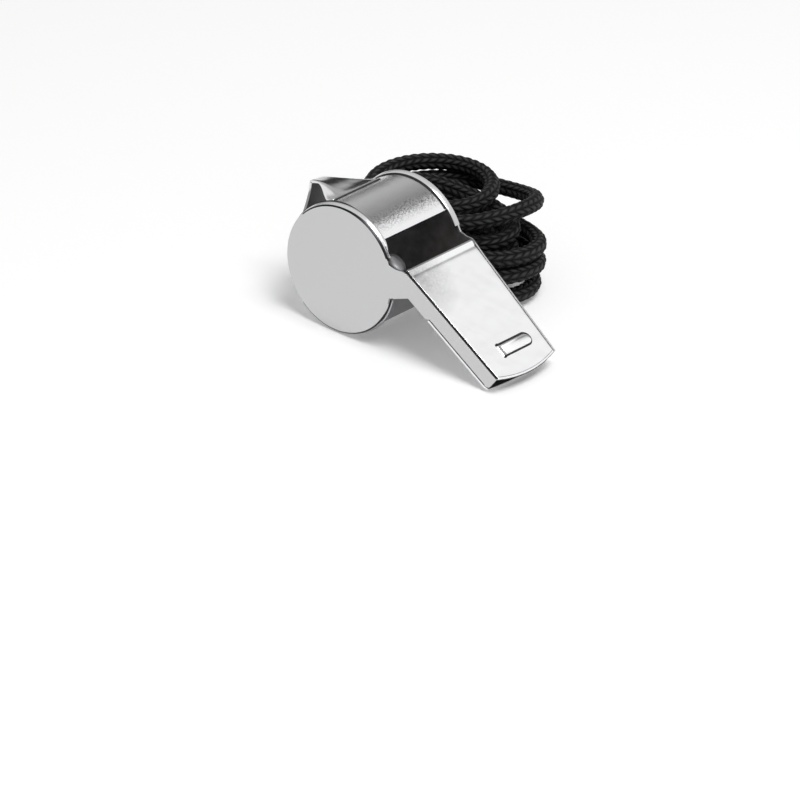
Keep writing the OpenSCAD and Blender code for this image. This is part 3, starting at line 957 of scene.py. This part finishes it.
    def solder(self, bead: Bead) -> bpy.types.Object:
        """Builds the uneven bead of solder along a root of the strap.

        Args:
            bead: its place and size.

        Returns:
            The bead, half sunk into the strip.
        """
        dice = np.random.default_rng(7)
        lumps = dice.normal(0, 1, bead.steps + 2 + bead.span)
        wobble = np.convolve(lumps, np.ones(bead.span) / bead.span, "same")
        verts = []
        for i in range(bead.steps + 1):
            t = i / bead.steps
            r = bead.radius * (1 + bead.unevenness * wobble[i]) * (0.25 + 0.75 * math.sin(math.pi * t) ** 0.3)
            y = bead.y_from + (bead.y_to - bead.y_from) * t
            for b in (2 * math.pi * k / bead.sides for k in range(bead.sides)):
                around = math.radians(bead.angle) + r * 1.4 * math.sin(b) / self.strip_r
                out = self.strip_r + 0.1 + r * math.cos(b)
                verts.append(self.place(out * math.cos(around), y, out * math.sin(around)))
        thing = mesh_object(bead.name, verts, tube_faces(bead.steps + 1, bead.sides), finish(Finish.STRAP))
        turn_faces(thing)
        return thing

    def painted_shade_lines(self) -> list[tuple[list[Point], list[float]]]:
        """The dark lines of painted shade in seams and gaps.

        Returns:
            For each line, its points in the whistle's millimetres and its radius at each point.
        """
        level, half, rim_y = self.plate_z, self.tooth_half + 0.05, self.half_w - self.flange
        across = [-1 + i / 10 for i in range(21)]
        lines = []
        # round the tooth ridge, with a blot at each square corner
        left, right, near = self.tooth_x - half, self.tooth_x + half, self.tooth_near + 0.05
        far_end = self.tooth_arc(self.tooth_x, half, list(range(11, 0, -1)))
        tooth = [(left, near), (left, self.tooth_far), *far_end, (right, self.tooth_far), (right, near)]
        lines.append(([(x, y, level + 0.02) for x, y in tooth], [0.13] * len(tooth)))
        for x in (left, right):
            lines.append(([(x, near - 0.25, level), (x, near, level + 0.02), (x, near + 0.4, level)],
                          [0.2, 0.27, 0.14]))
        # under the sounding lip
        lines.append(([self.on_barrel(self.lip_angle + 0.4, self.strip_r - 0.5, 8.8 * s) for s in across],
                      [0.09] * 21))
        # under the plate's convex tip, and along its edge
        half = self.arm_y(self.reach) - self.cheek_wall - self.groove
        for back, down, thick in ((-0.02, 0.46, 0.06), (0.3, -0.005, 0.035)):
            lines.append(([(self.reach + self.bulge * (1 - s * s) - back, s * half * 0.99, level - down)
                           for s in across], [thick] * 21))
        # in the grooves between the plate and the arms: fine on the far side, wide on the near one
        along = [9.6 + (self.reach - 9.7) * i / 12 for i in range(13)]
        lines.append(([(x, self.arm_y(x) - self.arm_gap - self.groove, level - 0.01) for x in along],
                      [0.035] * 13))
        lines.append(([(x, self.cheek_wall + self.groove / 2 - self.arm_y(x), level - 0.1) for x in along],
                      [0.17] * 13))
        # where each flange meets the strip: under the near rim, and inside the far one
        turn = [106.0 + 4 * i for i in range(28)]
        lines.append(([self.on_barrel(a, self.cheek_r - 0.03, 0.03 - rim_y) for a in turn],
                      [0.01 + 0.16 * smooth_step((a - 106) / 26) for a in turn]))
        turn = [80.0 + 4 * i for i in range(28)]
        lines.append(([self.on_barrel(a, self.strip_r + 0.06, rim_y - 0.08) for a in turn],
                      [0.06 + 0.14 * smooth_step((170 - a) / 60) for a in turn]))
        # between the near arm and the mouthpiece floor, and along the notch beside the window
        arm = [16.9 + i for i in range(15)]
        lines.append(([(x, -self.arm_y(x), self.low_z + self.sheet + 0.06) for x in arm], [0.06] * 15))
        lines.append(([(x, -self.half_w + self.face_depth(x, z) + 0.16, z + 0.01) for x, z in self.notch],
                      [0.055] * 4))
        # in front of the strap's upper root
        lines.append(([self.on_barrel(147.4, self.strip_r + 0.03, -6.3 + 11.8 * (s + 1) / 2) for s in across],
                      [0.13] * 21))
        return lines

    def creases(self) -> bpy.types.Object:
        """Builds the dark seam lines of painted shade as fine beads, half sunk into the sheet.

        Returns:
            All of the lines as one piece.
        """
        sides = 6
        verts, faces = [], []
        for points, radii in self.painted_shade_lines():
            spots = [Vector(p) for p in points]
            faces += tube_faces(len(spots), sides, len(verts))
            for i, spot in enumerate(spots):
                run = (spots[min(i + 1, len(spots) - 1)] - spots[max(i - 1, 0)]).normalized()
                side = run.cross(Vector((0.31, 0.17, 0.93))).normalized()
                up = side.cross(run)
                for a in (2 * math.pi * k / sides for k in range(sides)):
                    verts.append(self.place(*(spot + (side * math.cos(a) + up * math.sin(a)) * radii[i])))
        thing = mesh_object("painted_shade_lines", verts, faces, finish(Finish.CREASE))
        turn_faces(thing)
        return thing

    def build(self) -> None:
        """Builds every piece of the whistle and lets each stand for its CAD node."""
        self.keep(self.cheek(-1), "near_cheek", slot="cheeks")
        self.keep(self.cheek(1), "far_cheek", slot="cheeks")
        self.keep(self.strip(), "body_strip")
        self.keep(self.plate(), "mouthpiece_top")
        self.keep(self.tooth_ridge())
        self.keep(self.window_tab())
        self.keep(self.creases())
        self.keep(self.strap(), "lanyard_strap")
        for bead in self.beads:
            self.keep(self.solder(bead))


# The cord


@dataclass
class NeckCord:
    """One braided cord, wound behind the whistle, with both ends in the ferrule. Sizes are in millimetres.

    Places along the coil are counted in turns. Lifts and leans are soft bumps, each given by its turn, its
    half width in turns and its height.
    """

    d: float = 2.7
    left_x: float = -15.8
    mid_y: float = 21.2
    r_out: float = 10.0
    r_in: float = 6.45
    pitch: float = 3.15
    low: float = 1.35
    rise: float = 0.25
    top_at: float = 4.2
    turns: float = 7.75
    down_at: float = 7.7
    spans: tuple[float, ...] = (10.8, 11.4, 11.2, 6.9)
    inner_span: float = 10.0
    lifts: tuple[Point, ...] = ((1.25, 0.3, 0.9), (2.25, 0.3, 0.9), (2.95, 0.13, 0.5), (3.26, 0.32, 3.3))
    leans: tuple[Point, ...] = ((3.14, 0.34, 4.0), (4.0, 0.3, 1.0))
    mouth: Point = (-33.4, 26.9, 3.2)
    chain_angle: float = -70.0
    out: tuple[Point, ...] = (
        (-33.2, 32.6, 3.3), (-31, 34.8, 3.6), (-28, 35.6, 4.1), (-25, 35.4, 4.5), (-22.4, 34.6, 4.5),
        (-20.4, 33.3, 3.6), (-18.2, 32, 2.2), (-15.8, 31.2, 1.4), (-13.1, 31.2, 1.35))
    back: tuple[Point, ...] = (
        (-22.3, 24, 1.35), (-22.3, 27, 1.35), (-22.6, 30, 1.4), (-22.6, 33, 1.4), (-22.8, 36, 1.4),
        (-23.6, 39, 1.4), (-25.6, 41.2, 1.4), (-28.4, 42.1, 1.5), (-31.4, 41.6, 1.6), (-33.8, 39.6, 1.9),
        (-35.2, 36.8, 2.4), (-35.8, 33.6, 2.9))
    sides: int = 32
    ring_mm: float = 0.24
    relief: float = 0.16
    knot_mm: float = 0.6
    softening: int = 9
    with_pieces: tuple[str, ...] = ("cord_ferrule", "swivel_post", "hook_body", "hook_gate", "gate_rivet")

    def span(self, t: float) -> float:
        """How far the right-hand end of a turn stands from its left-hand end.

        Args:
            t: the place along the coil.

        Returns:
            The distance between the middles of its two rounds.
        """
        if t < 3.75:
            return self.spans[int(t + 0.25)]
        return self.inner_span * smooth_step((t - 4.3) / 0.5)

    @staticmethod
    def bump(t: float, bumps: tuple[Point, ...]) -> float:
        """The sum of the soft bumps at a place along the coil."""
        return sum(high * smooth_step(1 - abs(t - at) / half) for at, half, high in bumps)

    def coil_point(self, t: float) -> Point:
        """The centre line of the coil: up round the outside, then down inside it.

        Args:
            t: the place along the coil.

        Returns:
            The point.
        """
        a = math.radians(90 - 360 * t)
        c = math.cos(a)
        bow = (3 * c - c**3) / 2
        span = self.span(t)
        r = self.r_out - (self.r_out - self.r_in) * smooth_step((t - self.top_at) / 0.3)
        if t < self.top_at:
            z = self.low + self.rise * min(1.0, t) + self.pitch * t + self.bump(t, self.lifts)
        else:
            high = self.rise + self.pitch * self.top_at
            z = self.low + high * max(0.0, (self.down_at - t) / (self.down_at - self.top_at))
        return (self.left_x + span / 2 + span / 2 * bow + r * c,
                self.mid_y + r * math.sin(a) + self.bump(t, self.leans), z)

    def mouth_point(self, side: float, back: float) -> Point:
        """A point of one cord end before the ferrule's mouth.

        Args:
            side: 1 for the end that leaves and -1 for the one that comes back.
            back: how far before the mouth.

        Returns:
            The point.
        """
        a = math.radians(self.chain_angle)
        run, across = (math.cos(a), math.sin(a)), (-math.sin(a), math.cos(a))
        x, y, z = self.mouth
        return (x + across[0] * side * self.d / 2 - run[0] * back,
                y + across[1] * side * self.d / 2 - run[1] * back, z)

    def smooth_path(self) -> list[Vector]:
        """The whole centre line, from the ferrule's mouth round the coil and back.

        Returns:
            Evenly spaced points in metres, rounded between the corners of the line.
        """
        coil = [self.coil_point(t) for t in np.arange(0, self.turns - 0.02, 1 / 36)]
        raw = [self.mouth_point(1, 0), self.mouth_point(1, 3), *self.out, *coil, *self.back,
               self.mouth_point(-1, 3), self.mouth_point(-1, 0)]
        raw = np.array([tuple(Vector(p) * MM) for p in raw])
        gaps = np.linalg.norm(np.diff(raw, axis=0), axis=1)
        at = np.concatenate([[0], np.cumsum(gaps)])
        even = np.arange(0, at[-1], self.knot_mm * MM)
        line = np.stack([np.interp(even, at, raw[:, k]) for k in range(3)], axis=1)
        kernel = np.hanning(self.softening)
        kernel /= kernel.sum()
        half = self.softening // 2
        padded = np.concatenate([np.repeat(line[:1], half, 0), line, np.repeat(line[-1:], half, 0)])
        soft = np.stack([np.convolve(padded[:, k], kernel, "valid") for k in range(3)], axis=1)
        soft[:half], soft[-half:] = line[:half], line[-half:]
        return [Vector(p) for p in np.concatenate([soft, raw[-1:]])]

    @staticmethod
    def tree() -> bpy.types.NodeTree:
        """Builds the geometry nodes that sweep a braided tube along a curve.

        Returns:
            The tree, with its sizes as named inputs.
        """
        tree = bpy.data.node_groups.new("braided tube", "GeometryNodeTree")
        inputs = {"Geometry": "Geometry", "Radius": "Float", "Ring spacing": "Float", "Relief": "Float",
                  "Stitch length": "Float", "Sides": "Int", "Columns": "Int", "Finish": "Material"}
        for name, kind in inputs.items():
            tree.interface.new_socket(name, in_out="INPUT", socket_type=f"NodeSocket{kind}")
        tree.interface.new_socket("Geometry", in_out="OUTPUT", socket_type="NodeSocketGeometry")
        given = add_node(tree, "NodeGroupInput").outputs
        # the line keeps its length, and the ring its share of a turn, for the pattern and the map
        line = add_node(tree, "GeometryNodeResampleCurve",
                        {"Curve": given["Geometry"], "Length": given["Ring spacing"]}, mode="LENGTH")
        length = add_node(tree, "GeometryNodeSplineParameter").outputs["Length"]
        line = add_node(tree, STORE, {"Geometry": line, "Name": "along", "Value": length},
                        data_type="FLOAT", domain="POINT")
        ring = add_node(tree, "GeometryNodeCurvePrimitiveCircle",
                        {"Resolution": given["Sides"], "Radius": given["Radius"]})
        share = add_node(tree, MATH, (add_node(tree, "GeometryNodeInputIndex"), given["Sides"]),
                         operation="DIVIDE")
        ring = add_node(tree, STORE, {"Geometry": ring, "Name": "around", "Value": share},
                        data_type="FLOAT", domain="POINT")
        tube = add_node(tree, "GeometryNodeCurveToMesh",
                        {"Curve": line, "Profile Curve": ring, "Fill Caps": True})
        along, around = (add_node(tree, "GeometryNodeInputNamedAttribute", {"Name": name}, data_type="FLOAT")
                         for name in ("along", "around"))
        # each stitch swells along the cord and across its column
        column = add_node(tree, MATH, (around, given["Columns"]), operation="MULTIPLY")
        nudged = add_node(tree, MATH, (column, 1e-4), operation="ADD")
        fraction = add_node(tree, MATH, (nudged,), operation="FRACT")
        inside = add_node(tree, MATH, (fraction, 0.5), operation="SUBTRACT")
        spread = add_node(tree, MATH, (inside, math.pi), operation="MULTIPLY")
        crest = add_node(tree, MATH, (spread,), operation="COSINE")
        high = add_node(tree, MATH, (crest,), operation="ABSOLUTE")
        stitches = add_node(tree, MATH, (along, given["Stitch length"]), operation="DIVIDE")
        turn = add_node(tree, MATH, (stitches, math.pi), operation="MULTIPLY")
        swing = add_node(tree, MATH, (turn,), operation="SINE")
        beat = add_node(tree, MATH, (swing,), operation="ABSOLUTE")
        level = add_node(tree, MATH, (high, beat, -0.5), operation="MULTIPLY_ADD")
        swell = add_node(tree, MATH, (level, given["Relief"]), operation="MULTIPLY")
        out = add_node(tree, VECTOR_MATH, {0: add_node(tree, "GeometryNodeInputNormal"), "Scale": swell},
                       operation="SCALE")
        tube = add_node(tree, "GeometryNodeSetPosition", {"Geometry": tube, "Offset": out})
        # the last column of faces closes the ring, so its map runs on to 1 instead of back to 0
        mean = add_node(tree, "GeometryNodeFieldOnDomain", {"Value": around},
                        data_type="FLOAT", domain="FACE")
        past = add_node(tree, MATH, (mean, around), operation="SUBTRACT")
        last = add_node(tree, MATH, (past, 0.25), operation="GREATER_THAN")
        turn_round = add_node(tree, MATH, (around, last), operation="ADD")
        run = add_node(tree, MATH, (along, 1 / MM), operation="MULTIPLY")
        pair = add_node(tree, "ShaderNodeCombineXYZ", {"X": run, "Y": turn_round})
        tube = add_node(tree, STORE, {"Geometry": tube, "Name": "UVMap", "Value": pair},
                        data_type="FLOAT2", domain="CORNER")
        tube = add_node(tree, "GeometryNodeSetShadeSmooth", {"Geometry": tube})
        tube = add_node(tree, "GeometryNodeRealizeInstances", {"Geometry": tube})
        tube = add_node(tree, "GeometryNodeSetMaterial", {"Geometry": tube, "Material": given["Finish"]})
        add_node(tree, "NodeGroupOutput", (tube,))
        return tree

    def mesh(self, points: list[Vector]) -> bpy.types.Mesh:
        """Sweeps the braid along the centre line.

        Args:
            points: the centre line in metres.

        Returns:
            The cord's plain mesh, pressed flat where it lies on the table.
        """
        curve = bpy.data.curves.new("neck cord line", "CURVE")
        curve.dimensions = "3D"
        spline = curve.splines.new("POLY")
        spline.points.add(len(points) - 1)
        for knot, point in zip(spline.points, points):
            knot.co = (*point, 1.0)
        thing = linked_object("neck_cord", curve)
        modifier = thing.modifiers.new("Braid", "NODES")
        modifier.node_group = self.tree()
        braid = Finish.BRAID.value
        given = {"Radius": self.d / 2 * MM, "Ring spacing": self.ring_mm * MM, "Relief": self.relief * MM,
                 "Stitch length": braid.stitch_mm * MM, "Sides": self.sides, "Columns": braid.columns,
                 "Finish": finish(Finish.BRAID)}
        for item in modifier.node_group.interface.items_tree:
            if item.item_type == "SOCKET" and item.in_out == "INPUT" and item.name in given:
                modifier[item.identifier] = given[item.name]
        evaluated = thing.evaluated_get(bpy.context.evaluated_depsgraph_get())
        mesh = bpy.data.meshes.new_from_object(evaluated)
        bpy.data.objects.remove(thing)
        for vert in mesh.vertices:
            vert.co.z = max(vert.co.z, 0.0)
        return mesh

    def build(self) -> None:
        points = self.smooth_path()
        cord = linked_object("neck_cord", self.mesh(points))
        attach(cord, "whistle")
        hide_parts("cord_lead_out", "cord_coil", "cord_lead_back")


# The studio


@dataclass
class Studio:
    """Camera, floor, the white tent around them and one soft lamp."""

    azimuth: float = 36.96
    elevation: float = 27.2
    roll: float = 4.84
    pixels_per_mm: float = 6.18
    focal_px: float = 9000.0
    picture_px: float = 800.0
    sensor_mm: float = 36.0
    aim_mm: Point = (22.94 - 9.92132, -20.43, 0.0)
    soft_light: float = 0.34
    front_level: float = 0.34
    card_level: float = 0.03
    card_way: Point = (-0.6, 0.8, 0.01)
    cards: tuple[Flat, ...] = ((0, 0.28), (8, 0.4), (16, 0.47), (38, 0.48), (55, 0.38), (75, 0.26),
                               (86, 0.22), (96, 0.42), (104, 0.97), (180, 1.0))
    floor_half: float = 1.5
    floor_seen: float = 0.18
    floor_mirrored: float = 0.15
    lamp_at: Point = (0.28, -0.08, 0.75)
    lamp_target: Point = (0, 0.01, 0.005)
    lamp_size: float = 0.4
    lamp_watts: float = 4.5

    def camera(self) -> None:
        """Sets the long-lens camera at the photograph's viewing angle."""
        az, el, roll = (math.radians(v) for v in (self.azimuth, self.elevation, self.roll))
        look = Vector((-math.sin(az) * math.cos(el), math.cos(az) * math.cos(el), -math.sin(el)))
        level = look.cross(Vector((0, 0, 1))).normalized()
        upright = level.cross(look)
        right = math.cos(roll) * level + math.sin(roll) * upright
        up = -math.sin(roll) * level + math.cos(roll) * upright
        lens = bpy.data.cameras.new("studio camera")
        lens.sensor_width = self.sensor_mm
        lens.lens = self.sensor_mm * self.focal_px / self.picture_px
        lens.clip_start, lens.clip_end = 0.05, 20.0
        stand = linked_object("studio camera", lens)
        away = self.focal_px / self.pixels_per_mm * MM
        turn = Matrix((right, up, -look)).transposed().to_4x4()
        stand.matrix_world = Matrix.Translation(Vector(self.aim_mm) * MM - look * away) @ turn
        bpy.context.scene.camera = stand

    def world(self) -> None:
        """Sets a white surround for the camera and for gloss, and a dimmer soft light on the object."""
        world = bpy.data.worlds.new("pale studio")
        bpy.context.scene.world = world
        world.use_nodes = True
        tree = world.node_tree
        tree.nodes.clear()
        rays = add_node(tree, "ShaderNodeLightPath").outputs
        way = add_node(tree, "ShaderNodeTexCoord").outputs["Generated"]
        split = add_node(tree, "ShaderNodeSeparateXYZ", (way,)).outputs
        # the back wall of the tent: its cards by the angle above the back-left horizon, in half turns
        left = add_node(tree, MATH, (split["X"], -1.0), operation="MULTIPLY")
        angle = add_node(tree, MATH, (split["Z"], left), operation="ARCTAN2")
        half_turns = add_node(tree, MATH, (angle, math.pi), operation="DIVIDE")
        above = add_node(tree, MATH, (half_turns, 0.0), operation="MAXIMUM")
        wall = add_node(tree, "ShaderNodeValToRGB", {"Fac": above})
        ramp = wall.color_ramp.elements
        for _ in self.cards[2:]:
            ramp.new(0.5)
        for element, (degrees, level) in zip(ramp, self.cards):
            element.position = degrees / 180
            element.color = (level, level, level, 1.0)
        # the camera's side of the tent is dark above the table, which draws dark lines along rounded edges
        facing = add_node(tree, MATH, (split["Y"], -1.0), operation="MULTIPLY")
        lowness = add_node(tree, MATH, (split["Z"], -1.0), operation="MULTIPLY")
        card = add_node(tree, VECTOR_MATH, (way, self.card_way), operation="DOT_PRODUCT").outputs["Value"]
        behind, dark_card, nearer, over_table = (
            add_node(tree, MAP_RANGE, {"Value": value, "From Min": low, "From Max": high},
                     interpolation_type="SMOOTHSTEP")
            for value, low, high in ((split["Y"], 0.4, 0.6), (card, 0.962, 0.988), (facing, 0.05, 0.2),
                                     (lowness, -0.96, -0.88)))
        front = add_node(tree, MATH, (nearer, over_table), operation="MULTIPLY")
        shade = 1.0
        for share, level in ((behind, wall), (dark_card, self.card_level), (front, self.front_level)):
            shade = add_node(tree, MIX, {"Factor": share, "A": shade, "B": level})
        # the camera sees plain white, gloss sees the tent, and all other rays a dimmer even light
        gloss = add_node(tree, MATH, (rays["Is Glossy Ray"], rays["Is Transmission Ray"]),
                         operation="MAXIMUM")
        direct = add_node(tree, MATH, (rays["Is Camera Ray"], gloss), operation="MAXIMUM")
        other = add_node(tree, MATH, (1.0, direct), operation="SUBTRACT")
        soft = add_node(tree, MATH, (other, self.soft_light), operation="MULTIPLY")
        lit = add_node(tree, MATH, (gloss, shade, soft), operation="MULTIPLY_ADD")
        level = add_node(tree, MATH, (rays["Is Camera Ray"], lit), operation="ADD")
        back = add_node(tree, "ShaderNodeBackground", {"Color": (1, 1, 1, 1), "Strength": level})
        add_node(tree, "ShaderNodeOutputWorld", (back,))

    def floor(self) -> None:
        """Lays a plain pale floor that keeps the object's shadow."""
        material, tree, shader = new_material("pale studio floor")
        shader.inputs["Base Color"].default_value = linear("f4f4f4")
        shader.inputs["Roughness"].default_value = 0.9
        shader.inputs["Specular IOR Level"].default_value = 0.1
        shader.inputs["Emission Color"].default_value = (1, 1, 1, 1)
        rays = add_node(tree, "ShaderNodeLightPath").outputs
        mirrored = add_node(tree, MATH, (rays["Is Glossy Ray"], self.floor_mirrored), operation="MULTIPLY")
        glow = add_node(tree, MATH, (rays["Is Camera Ray"], self.floor_seen, mirrored),
                        operation="MULTIPLY_ADD")
        tree.links.new(glow.outputs[0], shader.inputs["Emission Strength"])
        half = self.floor_half
        corners = [(-half, -half, 0), (half, -half, 0), (half, half, 0), (-half, half, 0)]
        mesh_object("studio_floor", corners, [(0, 1, 2, 3)], material)

    def lamp(self) -> None:
        """Hangs the soft square lamp over the table and turns it to the object."""
        light = bpy.data.lights.new("overhead softbox", "AREA")
        light.size = self.lamp_size
        light.energy = self.lamp_watts
        thing = linked_object("overhead softbox", light)
        thing.location = self.lamp_at
        look = Vector(self.lamp_target) - Vector(self.lamp_at)
        thing.rotation_euler = look.to_track_quat("-Z", "Y").to_euler()

    def build(self) -> None:
        """Sets camera, world, floor and lamp."""
        bpy.context.scene.view_settings.view_transform = "Standard"
        self.camera()
        self.world()
        self.floor()
        self.lamp()


def dress_frame() -> None:
    """Gives every CAD node the finish of its piece."""
    kinds = {
        Finish.CHEEK: ("near_cheek", "far_cheek"), Finish.SHELL: ("body_strip",),
        Finish.PLATE: ("mouthpiece_top",), Finish.INSIDE: ("windway_ramp",), Finish.STRAP: ("lanyard_strap",),
        Finish.CORK: ("pea",), Finish.NICKEL: ("cord_ferrule", "hook_body", "hook_gate"),
        Finish.TURNED: ("swivel_post", "gate_rivet"),
        Finish.BRAID: ("cord_lead_out", "cord_coil", "cord_lead_back"),
    }
    for kind, names in kinds.items():
        for name in names:
            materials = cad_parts[name].data.materials
            materials.clear()
            materials.append(finish(kind))


def main() -> None:
    """Builds the studio, the cord and the whistle's looks, in that order."""
    logging.basicConfig(level=logging.INFO, format="%(name)s: %(message)s")
    Studio().build()
    NeckCord().build()
    Whistle().build()
    dress_frame()


if __name__ == "__main__":
    main()
